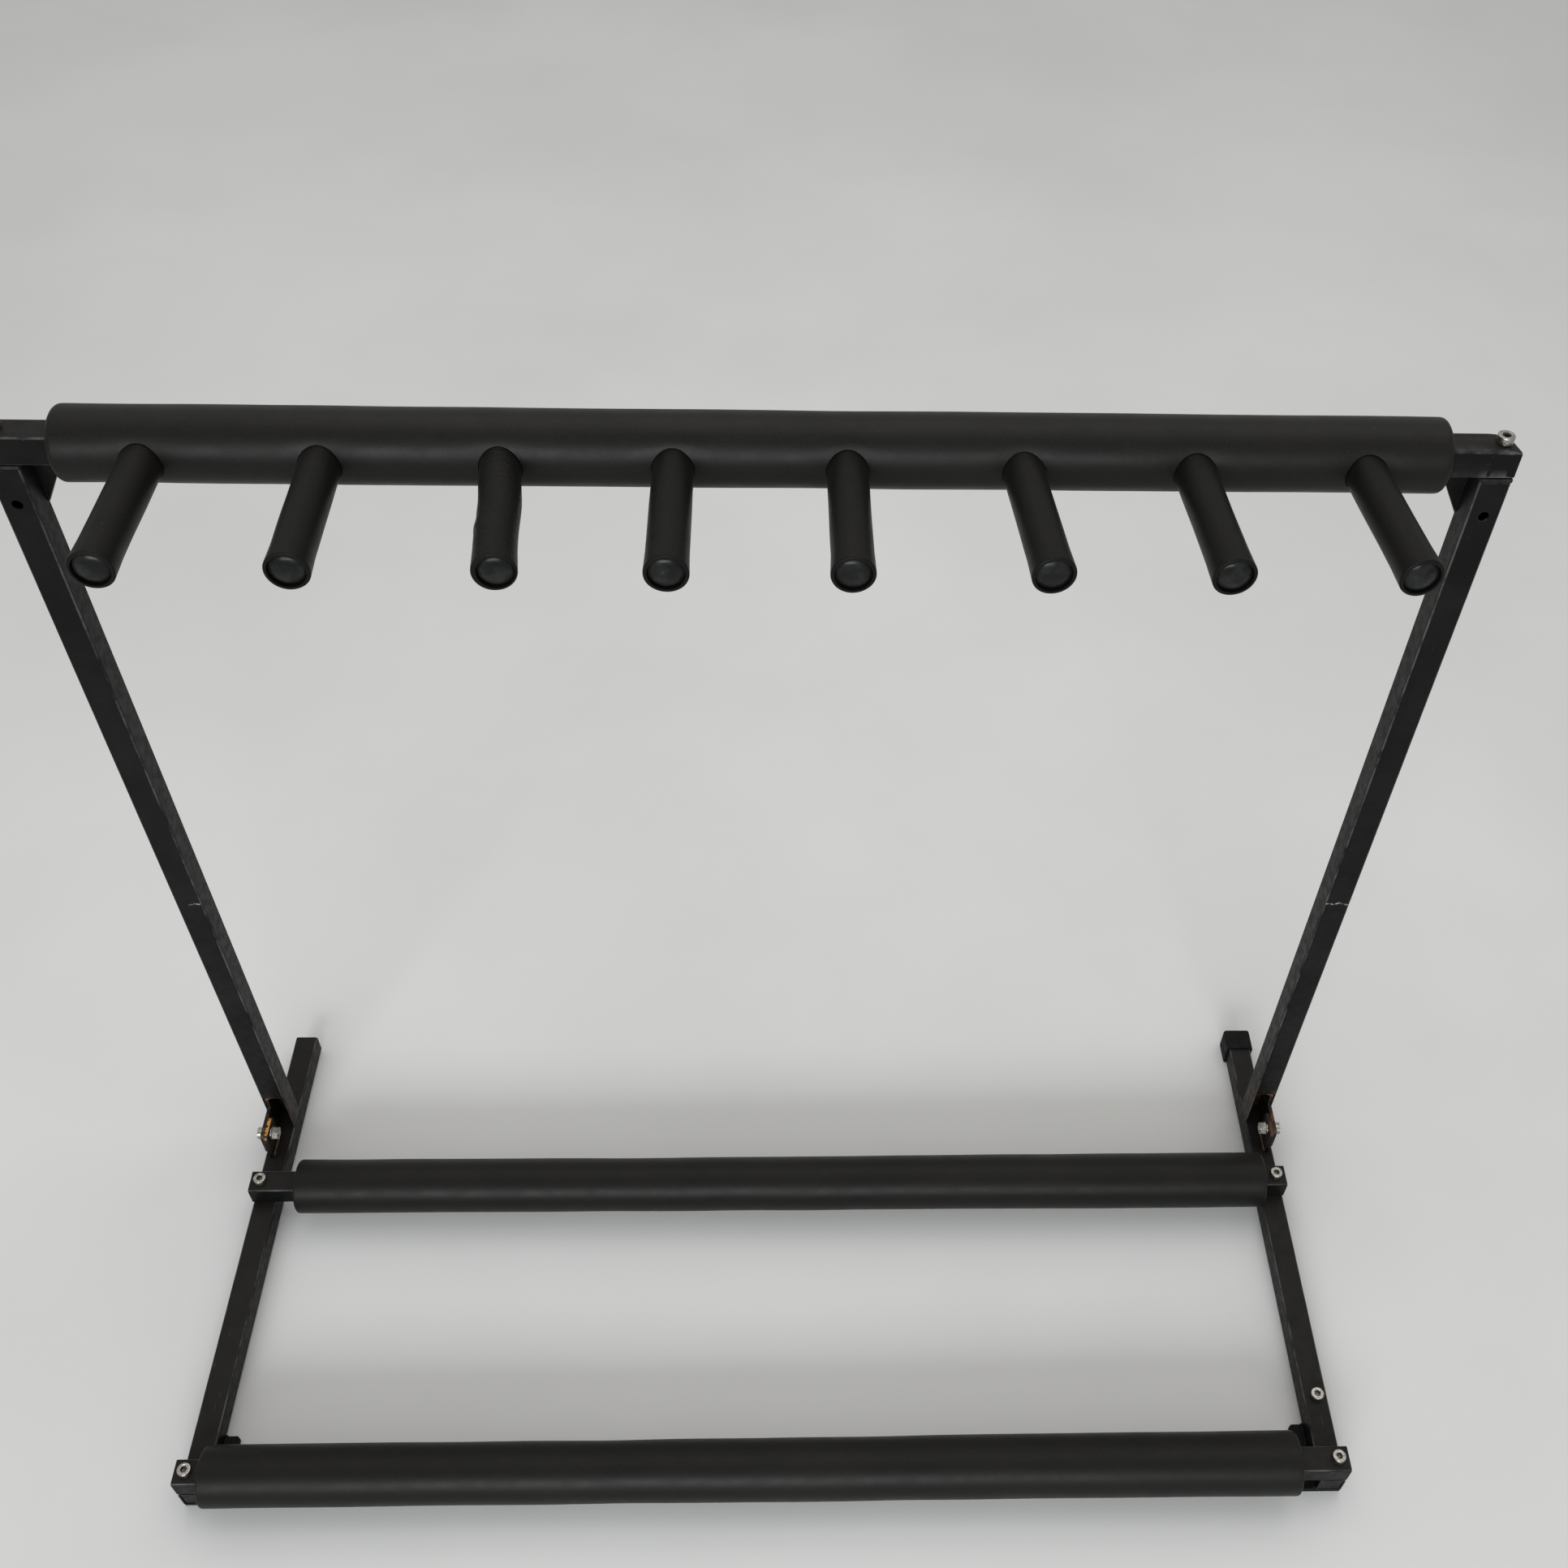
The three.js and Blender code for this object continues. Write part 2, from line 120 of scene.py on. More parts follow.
def place(piece, matrix):
    piece.matrix_world = matrix
    settle(piece)


def added(primitive, name, **settings):
    """A new primitive, named, with nothing else selected."""
    bpy.ops.object.select_all(action="DESELECT")
    primitive(**settings)
    piece = bpy.context.active_object
    piece.name = name
    piece.data.name = name
    return piece


def copy_of(piece, name):
    twin = bpy.data.objects.new(name, piece.data.copy())
    bpy.context.scene.collection.objects.link(twin)
    return twin


def pick(piece, kind, wanted):
    """Goes into edit mode with only the faces or edges that pass the test selected."""
    alone(piece)
    bpy.ops.object.mode_set(mode="EDIT")
    bpy.ops.mesh.select_mode(type=kind)
    bpy.ops.mesh.select_all(action="DESELECT")
    bpy.ops.object.mode_set(mode="OBJECT")
    for part in piece.data.polygons if kind == "FACE" else piece.data.edges:
        part.select = wanted(part)
    bpy.ops.object.mode_set(mode="EDIT")


def done_editing():
    bpy.ops.object.mode_set(mode="OBJECT")


def sliced(piece, axis, places):
    """Cuts a ring of edges across the piece at each place along an axis: 0 is X and 1 is Y."""
    normal = Vector((0, 0, 0))
    normal[axis] = 1
    for at in places:
        alone(piece)
        bpy.ops.object.mode_set(mode="EDIT")
        bpy.ops.mesh.select_all(action="SELECT")
        bpy.ops.mesh.bisect(plane_co=normal * at, plane_no=normal)
        done_editing()


def apply_modifier(piece, kind, **settings):
    alone(piece)
    modifier = piece.modifiers.new("step", kind)
    for key, value in settings.items():
        setattr(modifier, key, value)
    bpy.ops.object.modifier_apply(modifier=modifier.name)


def cut(piece, *cutters):
    """Takes the cutters out of the piece and throws them away."""
    for cutter in cutters:
        apply_modifier(
            piece, "BOOLEAN", operation="DIFFERENCE", solver="EXACT", object=cutter,
            material_mode="TRANSFER",
        )
        bpy.data.objects.remove(cutter)


def soften(piece, degrees=40):
    """Smooth shading across everything but real edges."""
    alone(piece)
    bpy.ops.object.shade_smooth_by_angle(angle=math.radians(degrees))


def break_edges(piece, width, segments=2, degrees=55):
    apply_modifier(
        piece, "BEVEL", width=width, segments=segments, limit_method="ANGLE",
        angle_limit=math.radians(degrees), harden_normals=False,
    )


def finished(piece, node, slot, *paints):
    """The piece stands for a CAD node, rides where it rides and wears these materials."""
    piece.data.materials.clear()
    for paint in paints:
        piece.data.materials.append(paint)
    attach(piece, nodes[node]["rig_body"])
    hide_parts(node)


def middle(node):
    low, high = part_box(node)
    return (low + high) / 2


def width(node):
    low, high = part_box(node)
    return high.x - low.x


def balance(node):
    """Mean of a node's corners, which lies on the axis of a round piece."""
    corners = [v.co for v in nodes[node].data.vertices]
    return sum(corners, Vector()) / len(corners)


# ---------------------------------------------------------------------------------------------
# Materials


class Paint:
    """A node material being built: the Principled shader and short ways to add what feeds it."""

    def __init__(self, name):
        self.material = bpy.data.materials.new(name)
        self.material.use_nodes = True
        self.tree = self.material.node_tree
        self.shader = self.tree.nodes["Principled BSDF"]
        self.coordinates = self.tree.nodes.new("ShaderNodeTexCoord")
        self.place = self.coordinates.outputs["Object"]
        self.bump = None

    def link(self, source, target):
        if isinstance(source, bpy.types.NodeSocket):
            self.tree.links.new(source, target)
        else:
            target.default_value = source

    def stretched(self, scale):
        node = self.tree.nodes.new("ShaderNodeMapping")
        self.link(self.place, node.inputs["Vector"])
        node.inputs["Scale"].default_value = scale
        return node.outputs["Vector"]

    def grain(self, scale, detail=3, roughness=0.55, place=None):
        node = self.tree.nodes.new("ShaderNodeTexNoise")
        self.link(place or self.place, node.inputs["Vector"])
        node.inputs["Scale"].default_value = scale
        node.inputs["Detail"].default_value = detail
        node.inputs["Roughness"].default_value = roughness
        return node.outputs["Fac"]

    def cells(self, scale):
        node = self.tree.nodes.new("ShaderNodeTexVoronoi")
        self.link(self.place, node.inputs["Vector"])
        node.inputs["Scale"].default_value = scale
        return node.outputs["Distance"]

    def spread(self, value, low, high, out_low=0.0, out_high=1.0):
        """Maps low..high smoothly to out_low..out_high."""
        node = self.tree.nodes.new("ShaderNodeMapRange")
        node.interpolation_type = "SMOOTHSTEP"
        self.link(value, node.inputs["Value"])
        node.inputs["From Min"].default_value = low
        node.inputs["From Max"].default_value = high
        node.inputs["To Min"].default_value = out_low
        node.inputs["To Max"].default_value = out_high
        return node.outputs["Result"]

    def math(self, operation, a, b=0.0):
        node = self.tree.nodes.new("ShaderNodeMath")
        node.operation = operation
        self.link(a, node.inputs[0])
        self.link(b, node.inputs[1])
        return node.outputs["Value"]

    def axes(self):
        node = self.tree.nodes.new("ShaderNodeSeparateXYZ")
        self.link(self.place, node.inputs["Vector"])
        return node.outputs

    def facing(self):
        node = self.tree.nodes.new("ShaderNodeSeparateXYZ")
        self.link(self.coordinates.outputs["Normal"], node.inputs["Vector"])
        return node.outputs

    def corners(self):
        """1 where a rounded corner of square tube leans halfway between two sides."""
        x, y, z = (self.math("ABSOLUTE", self.facing()[axis]) for axis in "XYZ")
        lean = self.math("ADD", self.math("MULTIPLY", x, y), self.math("MULTIPLY", y, z))
        lean = self.math("ADD", lean, self.math("MULTIPLY", x, z))
        return self.spread(lean, 0.30, 0.48)

    def blend(self, amount, under, over):
        node = self.tree.nodes.new("ShaderNodeMix")
        node.data_type = "RGBA"
        self.link(amount, node.inputs["Factor"])
        self.link(under, node.inputs["A"])
        self.link(over, node.inputs["B"])
        return node.outputs["Result"]

    def band(self, value, at, half_width):
        """1 at one value, falling to 0 a half width to either side."""
        away = self.math("ABSOLUTE", self.math("SUBTRACT", value, at))
        return self.spread(away, 0.0, half_width, 1.0, 0.0)

    def edges(self, radius):
        """1 along outside edges and 0 on flats, from how far a rounded normal leans away."""
        round_normal = self.tree.nodes.new("ShaderNodeBevel")
        round_normal.samples = 4
        round_normal.inputs["Radius"].default_value = radius
        flat = self.tree.nodes.new("ShaderNodeNewGeometry")
        dot = self.tree.nodes.new("ShaderNodeVectorMath")
        dot.operation = "DOT_PRODUCT"
        self.link(round_normal.outputs["Normal"], dot.inputs[0])
        self.link(flat.outputs["True Normal"], dot.inputs[1])
        return self.spread(dot.outputs["Value"], 0.82, 0.97, 1.0, 0.0)

    def relief(self, height, distance, strength=1.0):
        node = self.tree.nodes.new("ShaderNodeBump")
        self.link(height, node.inputs["Height"])
        node.inputs["Distance"].default_value = distance
        node.inputs["Strength"].default_value = strength
        if self.bump:
            self.link(self.bump, node.inputs["Normal"])
        self.bump = node.outputs["Normal"]
        self.link(self.bump, self.shader.inputs["Normal"])

    def finish(self, **sockets):
        for name, value in sockets.items():
            self.link(value, self.shader.inputs[name.replace("_", " ")])
        return self.material


COAT = (0.0030, 0.0030, 0.0033, 1)
COAT_DUSTY = (0.0065, 0.0063, 0.0062, 1)
COAT_GLOSS = 0.10
# Colour of up-facing sides: settled dust together with painted light on the tops
COAT_TOP_DUST_AND_LIGHT = (0.0135, 0.0125, 0.0112, 1)
# Painted highlight along the rounded corners of the tube
COAT_CORNER_HIGHLIGHT = (0.10, 0.096, 0.092, 1)
BARE = (0.13, 0.125, 0.12, 1)
RUST = (0.075, 0.036, 0.017, 1)
RUST_DARK = (0.040, 0.021, 0.011, 1)
AMBER = (0.50, 0.24, 0.05, 1)
SCUFFED = (0.24, 0.235, 0.225, 1)
WELD_SCALE = (0.16, 0.085, 0.045, 1)
LINT = (0.16, 0.155, 0.15, 1)
ZINC_BRIGHT = (0.40, 0.39, 0.36, 1)
ZINC_DULL = (0.22, 0.205, 0.18, 1)
ZINC_GRIME = (0.13, 0.10, 0.07, 1)
SOCKET_DEEP = (0.05, 0.043, 0.034, 1)
SOCKET_WORN = (0.22, 0.20, 0.17, 1)
PALE_SCUFF = (0.12, 0.12, 0.12, 1)

# foam at full tint, without alpha
FOAM_DARK = (0.0068, 0.0064, 0.0048)
FOAM_DUSTY = (0.0100, 0.0092, 0.0068)
FOAM_SPECKLE = (0.024, 0.0225, 0.019)


def tinted(colour, tint):
    return (*(part * tint for part in colour), 1)


def coat_base(paint):
    """Black powder coat: cloudy dust, orange peel, rubbed edges, tops made lighter by settled dust
    and painted top light, and a painted highlight line along the rounded corners. Returns colour and
    roughness.
    """
    clouds = paint.spread(paint.grain(22, 5, 0.6), 0.35, 0.72)
    colour = paint.blend(clouds, COAT, COAT_DUSTY)
    # Up-facing sides lighter, unevenly: settled dust and painted top light
    settled_dust_and_top_light = paint.math("MULTIPLY", paint.spread(paint.facing()["Z"], 0.55, 0.95), 0.8)
    uneven = paint.spread(paint.grain(48, 5, 0.6), 0.2, 0.6, 0.55, 1.0)
    settled_dust_and_top_light = paint.math("MULTIPLY", settled_dust_and_top_light, uneven)
    colour = paint.blend(settled_dust_and_top_light, colour, COAT_TOP_DUST_AND_LIGHT)
    # Painted highlight: a broken pale line along every rounded corner
    broken = paint.spread(paint.grain(38, 5, 0.65), 0.36, 0.66, 0.06, 0.80)
    line = paint.math("MULTIPLY", paint.corners(), broken)
    colour = paint.blend(line, colour, COAT_CORNER_HIGHLIGHT)
    specks = paint.spread(paint.grain(900, 2), 0.70, 0.78)
    colour = paint.blend(paint.math("MULTIPLY", specks, 0.35), colour, BARE)
    patchy = paint.spread(paint.grain(70, 4, 0.7), 0.42, 0.66)
    rubbed = paint.math("MULTIPLY", paint.edges(1.0 * MM), patchy)
    colour = paint.blend(paint.math("MULTIPLY", rubbed, 0.55), colour, BARE)
    rough = paint.spread(paint.grain(140, 4), 0.3, 0.7, 0.36, 0.52)
    paint.relief(paint.grain(750, 2), 0.05 * MM, 0.5)
    return colour, rough


def black_coat():
    paint = Paint("black_powder_coat")
    colour, rough = coat_base(paint)
    return paint.finish(Base_Color=colour, Roughness=rough, Specular_IOR_Level=COAT_GLOSS)


def leg_coat():
    """The legs also carry fine scratches along their tops."""
    paint = Paint("scratched_leg_coat")
    colour, rough = coat_base(paint)
    streaks = paint.spread(paint.grain(1.0, 3, 0.7, paint.stretched((900, 45, 900))), 0.66, 0.72)
    where = paint.spread(paint.grain(9, 2), 0.48, 0.62)
    marks = paint.math("MULTIPLY", streaks, where)
    colour = paint.blend(paint.math("MULTIPLY", marks, 0.6), colour, BARE)
    return paint.finish(Base_Color=colour, Roughness=rough, Specular_IOR_Level=COAT_GLOSS)


def upright_coat(name, face_x, scuff_z, window_top, whole_face):
    """A scuff across the front face where it rests when folded, and a scorched, rusty open foot."""
    paint = Paint(name)
    colour, rough = coat_base(paint)
    at = paint.axes()
    wander = paint.math("MULTIPLY", paint.math("SUBTRACT", paint.grain(160, 3), 0.5), 7 * MM)
    height = paint.math("ADD", at["Z"], wander)
    line = paint.band(height, scuff_z, 1.1 * MM)
    front = paint.spread(paint.facing()["Y"], -0.75, -0.95)
    scuff = paint.math("MULTIPLY", line, front)
    if not whole_face:
        out = paint.math("ABSOLUTE", at["X"])
        inner = paint.spread(out, face_x - 1 * MM, face_x + 1 * MM, 1.0, 0.0)
        scuff = paint.math("MULTIPLY", scuff, inner)
    broken = paint.spread(paint.grain(420, 2), 0.40, 0.55)
    colour = paint.blend(paint.math("MULTIPLY", scuff, broken), colour, SCUFFED)
    rise = paint.math("ADD", at["Z"], paint.math("MULTIPLY", paint.grain(90, 4), 12 * MM))
    low = paint.spread(rise, window_top + 14 * MM, window_top + 5 * MM)
    scorched = paint.math("MULTIPLY", low, paint.spread(paint.grain(190, 5, 0.7), 0.42, 0.60))
    colour = paint.blend(paint.math("MULTIPLY", scorched, 0.7), colour, RUST_DARK)
    spots = paint.math("MULTIPLY", low, paint.spread(paint.grain(520, 4, 0.7), 0.58, 0.68))
    colour = paint.blend(paint.math("MULTIPLY", spots, 0.7), colour, RUST)
    return paint.finish(Base_Color=colour, Roughness=rough, Specular_IOR_Level=COAT_GLOSS)


def plate_coat(name, worn, cover):
    """Hinge plates: paint burnt off by welding, brighter where the two plates have rubbed."""
    paint = Paint(name)
    colour, rough = coat_base(paint)
    burnt = paint.spread(paint.grain(150, 5, 0.7), 0.46, 0.62)
    colour = paint.blend(paint.math("MULTIPLY", burnt, 0.65), colour, RUST_DARK)
    top = paint.spread(paint.facing()["Z"], 0.35, 0.75)
    rim = paint.math("MULTIPLY", top, paint.spread(paint.grain(170, 4), cover - 0.08, cover + 0.04))
    colour = paint.blend(rim, colour, worn)
    return paint.finish(Base_Color=colour, Roughness=rough, Specular_IOR_Level=COAT_GLOSS)


def weld_metal():
    paint = Paint("rusty_weld")
    mottle = paint.spread(paint.grain(420, 5, 0.7), 0.38, 0.64)
    colour = paint.blend(mottle, RUST_DARK, WELD_SCALE)
    paint.relief(paint.grain(900, 4), 0.25 * MM, 0.8)
    return paint.finish(Base_Color=colour, Roughness=0.62, Metallic=0.25)


def foam(name, tint, gloss, creased=False):
    """Closed-cell foam skin: very fine pores, faint clouds of dust and a soft sheen."""
    paint = Paint(name)
    clouds = paint.spread(paint.grain(14, 4, 0.6), 0.35, 0.70)
    colour = paint.blend(clouds, tinted(FOAM_DARK, tint), tinted(FOAM_DUSTY, tint))
    speckle = paint.spread(paint.grain(1300, 2, 0.7), 0.40, 0.66)
    speckle = paint.math("MULTIPLY", speckle, 0.45)
    colour = paint.blend(speckle, colour, tinted(FOAM_SPECKLE, tint))
    lint = paint.spread(paint.grain(650, 2), 0.755, 0.79)
    colour = paint.blend(paint.math("MULTIPLY", lint, 0.30), colour, LINT)
    rough = paint.spread(paint.grain(60, 3), 0.3, 0.7, 0.40, 0.47)
    pores = paint.spread(paint.cells(2600), 0.0, 0.55)
    paint.relief(pores, 0.05 * MM, 0.55)
    paint.relief(paint.grain(240, 4, 0.6), 0.10 * MM, 0.5)
    if creased:
        creases = paint.grain(1.0, 2, 0.5, paint.stretched((130, 420, 420)))
        paint.relief(creases, 0.7 * MM, 0.8)
    return paint.finish(
        Base_Color=colour, Roughness=rough, Specular_IOR_Level=gloss,
        Sheen_Weight=0.008, Sheen_Roughness=0.45,
    )


def zinc():
    paint = Paint("bright_zinc")
    dull = paint.spread(paint.grain(520, 4, 0.65), 0.40, 0.68)
    colour = paint.blend(dull, ZINC_BRIGHT, ZINC_DULL)
    grime = paint.spread(paint.grain(310, 4, 0.7), 0.60, 0.74)
    colour = paint.blend(paint.math("MULTIPLY", grime, 0.6), colour, ZINC_GRIME)
    rough = paint.spread(paint.grain(900, 3), 0.3, 0.7, 0.24, 0.42)
    paint.relief(paint.grain(1500, 2), 0.03 * MM, 0.6)
    return paint.finish(Base_Color=colour, Roughness=rough, Metallic=1.0)


def socket_dark():
    paint = Paint("dark_socket")
    mottle = paint.spread(paint.grain(700, 4), 0.40, 0.66)
    colour = paint.blend(mottle, SOCKET_DEEP, SOCKET_WORN)
    return paint.finish(Base_Color=colour, Roughness=0.55, Metallic=0.8)


def moulded(name, shade, low, high, bump):
    """Moulded plastic or rubber: faint mottling, hazy scuffs and a fine moulded texture."""
    paint = Paint(name)
    haze = paint.spread(paint.grain(110, 5, 0.65), 0.40, 0.70)
    pale = shade * 2.2
    colour = paint.blend(haze, (shade, shade, shade * 1.02, 1), (pale, pale, pale, 1))
    scuffs = paint.spread(paint.grain(1.0, 3, 0.7, paint.stretched((380, 900, 380))), 0.68, 0.74)
    colour = paint.blend(paint.math("MULTIPLY", scuffs, 0.25), colour, PALE_SCUFF)
    rough = paint.spread(paint.grain(170, 4), 0.3, 0.7, low, high)
    paint.relief(paint.grain(1100, 2), bump, 0.6)
    return paint.finish(Base_Color=colour, Roughness=rough, Specular_IOR_Level=COAT_GLOSS)


coat = black_coat()
legs_coat = leg_coat()
foam_bar = foam("foam_sleeve", tint=0.56, gloss=0.15)
foam_peg = foam("foam_peg_sleeve", tint=0.42, gloss=0.10)
foam_rucked = foam("foam_rucked_sleeve", tint=0.42, gloss=0.10, creased=True)
zinc_plate = zinc()
dark_socket = socket_dark()
weld = weld_metal()
gloss_cap = moulded("gloss_black_plastic", shade=0.0085, low=0.18, high=0.30, bump=0.03 * MM)
dull_plug = moulded("dull_black_plastic", shade=0.012, low=0.45, high=0.60, bump=0.05 * MM)
rubber = moulded("black_rubber", shade=0.0040, low=0.58, high=0.74, bump=0.10 * MM)


# ---------------------------------------------------------------------------------------------
# Square tube and plates: the CAD solid, merged, with broken edges and even shading


def refined(node, name, edge=FINE_EDGE):
    piece = copy_of(nodes[node], name)
    alone(piece)
    if piece.data.has_custom_normals:
        bpy.ops.mesh.customdata_custom_splitnormals_clear()
    bpy.ops.object.mode_set(mode="EDIT")
    bpy.ops.mesh.select_all(action="SELECT")
    bpy.ops.mesh.remove_doubles(threshold=0.005 * MM)
    bpy.ops.mesh.dissolve_limited(angle_limit=math.radians(1))
    done_editing()
    break_edges(piece, edge)
    soften(piece, 50)
    apply_modifier(piece, "WEIGHTED_NORMAL", keep_sharp=True, weight=80)
    return piece


for label, _ in SIDES:
    leg = refined(f"leg_{label}", f"{label}_leg_tube")
    finished(leg, f"leg_{label}", "black_paint", legs_coat)
    gusset = refined(f"gusset_{label}", f"{label}_gusset_plate")
    finished(gusset, f"gusset_{label}", "black_paint", coat)

for bar in ("front_crossbar", "rear_crossbar"):
    finished(refined(bar, f"{bar}_tube"), bar, "black_paint", coat)


def top_bar_tube():
    """The right end is crushed: the screw has pulled its top down and the rear corner has folded."""
    crush_length = 18 * MM
    crush_depth = 2.0 * MM
    slices = 6
    piece = refined("top_bar", "top_bar_tube")
    low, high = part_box("top_bar")
    sliced(piece, 0, [high.x - crush_length * step / slices for step in range(1, slices + 1)])
    for vertex in piece.data.vertices:
        along = (vertex.co.x - (high.x - crush_length)) / crush_length
        if along <= 0:
            continue
        rise = max(0.0, (vertex.co.z - (low.z + high.z) / 2) / ((high.z - low.z) / 2))
        back = (vertex.co.y - low.y) / (high.y - low.y)
        drop = along * along * rise
        vertex.co.z -= drop * crush_depth * (0.6 + back)
        vertex.co.x -= drop * crush_depth * back
    soften(piece, 50)
    finished(piece, "top_bar", "black_paint", coat)


top_bar_tube()


# ---------------------------------------------------------------------------------------------
# Uprights and hinge plates


def weld_bead(name, start, end, radius, body):
    """A short row of overlapping weld pools."""
    count = max(3, round((end - start).length / (0.75 * radius)))
    lumps = []
    for i in range(count):
        t = i / (count - 1)
        size = radius * (0.85 + 0.3 * noise.noise(Vector((i * 1.7, start.x * 90, 0))))
        lumps.append(added(
            bpy.ops.mesh.primitive_uv_sphere_add, f"{name}_{i}",
            segments=14, ring_count=8, radius=size, location=start.lerp(end, t),
        ))
    bead = lumps[0]
    for lump in lumps[1:]:
        apply_modifier(bead, "BOOLEAN", operation="UNION", solver="EXACT", object=lump)
        bpy.data.objects.remove(lump)
    settle(bead)
    bead.name = name
    bead.data.name = name
    soften(bead, 60)
    bead.data.materials.clear()
    bead.data.materials.append(weld)
    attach(bead, body)


WINDOW_HEIGHT = 46 * MM
SCUFF_REACH = 297 * MM  # from the pivot to where a folded upright rests
WINDOW_WELD_RADIUS = 1.7 * MM
WINDOW_WELD_LENGTH = 5 * MM
WINDOW_WELD_INSET = 2.2 * MM
EAR_WELD_RADIUS = 1.3 * MM
EAR_WELD_INSET = 2 * MM
PLATE_WEAR = {
    ("ear", "left"): (AMBER, 0.50),
    ("tab", "left"): (RUST, 0.52),
    ("ear", "right"): (RUST, 0.50),
    ("tab", "right"): (RUST, 0.52),
}

for label, side in SIDES:
    low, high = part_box(f"upright_{label}")
    pivot = middle(f"pivot_nut_{label}")
    scuff_z = pivot.z + SCUFF_REACH
    window_top = low.z + WINDOW_HEIGHT
    face_x = abs(low.x + high.x) / 2
    paint = upright_coat(f"{label}_upright_coat", face_x, scuff_z, window_top, side > 0)
    tube = refined(f"upright_{label}", f"{label}_upright_tube")
    finished(tube, f"upright_{label}", "black_paint", paint)
    for kind in ("ear", "tab"):
        plate_paint = plate_coat(f"{label}_{kind}_coat", *PLATE_WEAR[kind, label])
        node = f"hinge_{kind}_{label}"
        plate = refined(node, f"{label}_hinge_{kind}_plate", 0.5 * MM)
        finished(plate, node, "black_paint", plate_paint)
    bead_x = middle(f"hinge_tab_{label}").x
    bead_y = low.y + WINDOW_WELD_INSET
    weld_bead(
        f"{label}_window_weld",
        Vector((bead_x, bead_y, window_top - 4 * MM)),
        Vector((bead_x - side * WINDOW_WELD_LENGTH, bead_y, window_top - 1 * MM)),
        WINDOW_WELD_RADIUS,
        "upper_frame",
    )
    ear_low, ear_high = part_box(f"hinge_ear_{label}")
    foot_x = ear_low.x if side > 0 else ear_high.x
    weld_bead(
        f"{label}_ear_weld",
        Vector((foot_x, ear_low.y + EAR_WELD_INSET, ear_low.z)),
        Vector((foot_x, ear_high.y - EAR_WELD_INSET, ear_low.z)),
        EAR_WELD_RADIUS,
        "base",
    )


# ---------------------------------------------------------------------------------------------
# Turned pieces: a disc that is extruded and resized ring by ring, about Z


def turned(name, rings, sides=HEAD_SIDES):
    """Round solid from (radius, height) rings, closed by a flat disc at each end."""
    radius, height = rings[0]
    piece = added(
        bpy.ops.mesh.primitive_circle_add, name,
        vertices=sides, radius=radius, fill_type="NGON", location=(0, 0, height),
    )
    settle(piece)
    bpy.ops.object.mode_set(mode="EDIT")
    bpy.ops.mesh.select_all(action="SELECT")
    for next_radius, next_height in rings[1:]:
        bpy.ops.mesh.extrude_region_move(
            TRANSFORM_OT_translate={"value": (0, 0, next_height - height)},
        )
        share = next_radius / radius
        bpy.ops.transform.resize(value=(share, share, 1), center_override=(0, 0, next_height))
        radius, height = next_radius, next_height
    bpy.ops.mesh.select_all(action="SELECT")
    bpy.ops.mesh.normals_make_consistent(inside=False)
    done_editing()
    return piece


def rounded_rim(radius, height, corner, steps=4):
    """Rings round an outside corner, from the wall up to the flat top."""
    angles = [math.pi / 2 * i / steps for i in range(steps + 1)]
    return [
        (radius - corner + corner * math.cos(a), height - corner + corner * math.sin(a))
        for a in angles
    ]


def hex_cutter(across, depth, top):
    cutter = added(
        bpy.ops.mesh.primitive_cylinder_add, "hex_cutter",
        vertices=6, radius=across / math.sqrt(3), depth=2 * depth, location=(0, 0, top),
    )
    settle(cutter)
    cutter.data.materials.append(dark_socket)
    return cutter


def cap_screw(name, length, head_radius, head_height):
    """Socket head screw: underside of the head at z = 0, shank below."""
    piece = turned(name, [
        (SHANK_RADIUS * 0.8, -length),
        (SHANK_RADIUS, END_CHAMFER - length),
        (SHANK_RADIUS, 0),
        (head_radius - 0.2 * MM, 0),
        (head_radius, 0.2 * MM),
        *rounded_rim(head_radius, head_height, HEAD_RIM),
        (head_radius * 0.70, head_height),
        (head_radius * 0.64, head_height - 0.25 * MM),
    ])
    piece.data.materials.append(zinc_plate)
    cut(piece, hex_cutter(SOCKET_ACROSS, SOCKET_DEPTH, head_height))
    soften(piece, 35)
    return piece


SCREW_NODES = (
    "front_screw_left", "front_screw_right", "rear_screw_left", "rear_screw_right",
    "spare_leg_screw", "top_screw_left", "top_screw_right",
)


def add_screws():
    for number, node in enumerate(SCREW_NODES):
        low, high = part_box(node)
        seat = high.z - SCREW_HEAD_HEIGHT
        piece = cap_screw(f"{node}_fine", seat - low.z, (high.x - low.x) / 2, SCREW_HEAD_HEIGHT)
        turn = Matrix.Rotation(0.7 + 1.9 * number, 4, "Z")
        centre = (low + high) / 2
        place(piece, Matrix.Translation((centre.x, centre.y, seat)) @ turn)
        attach(piece, nodes[node]["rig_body"])
        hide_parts(node)


add_screws()


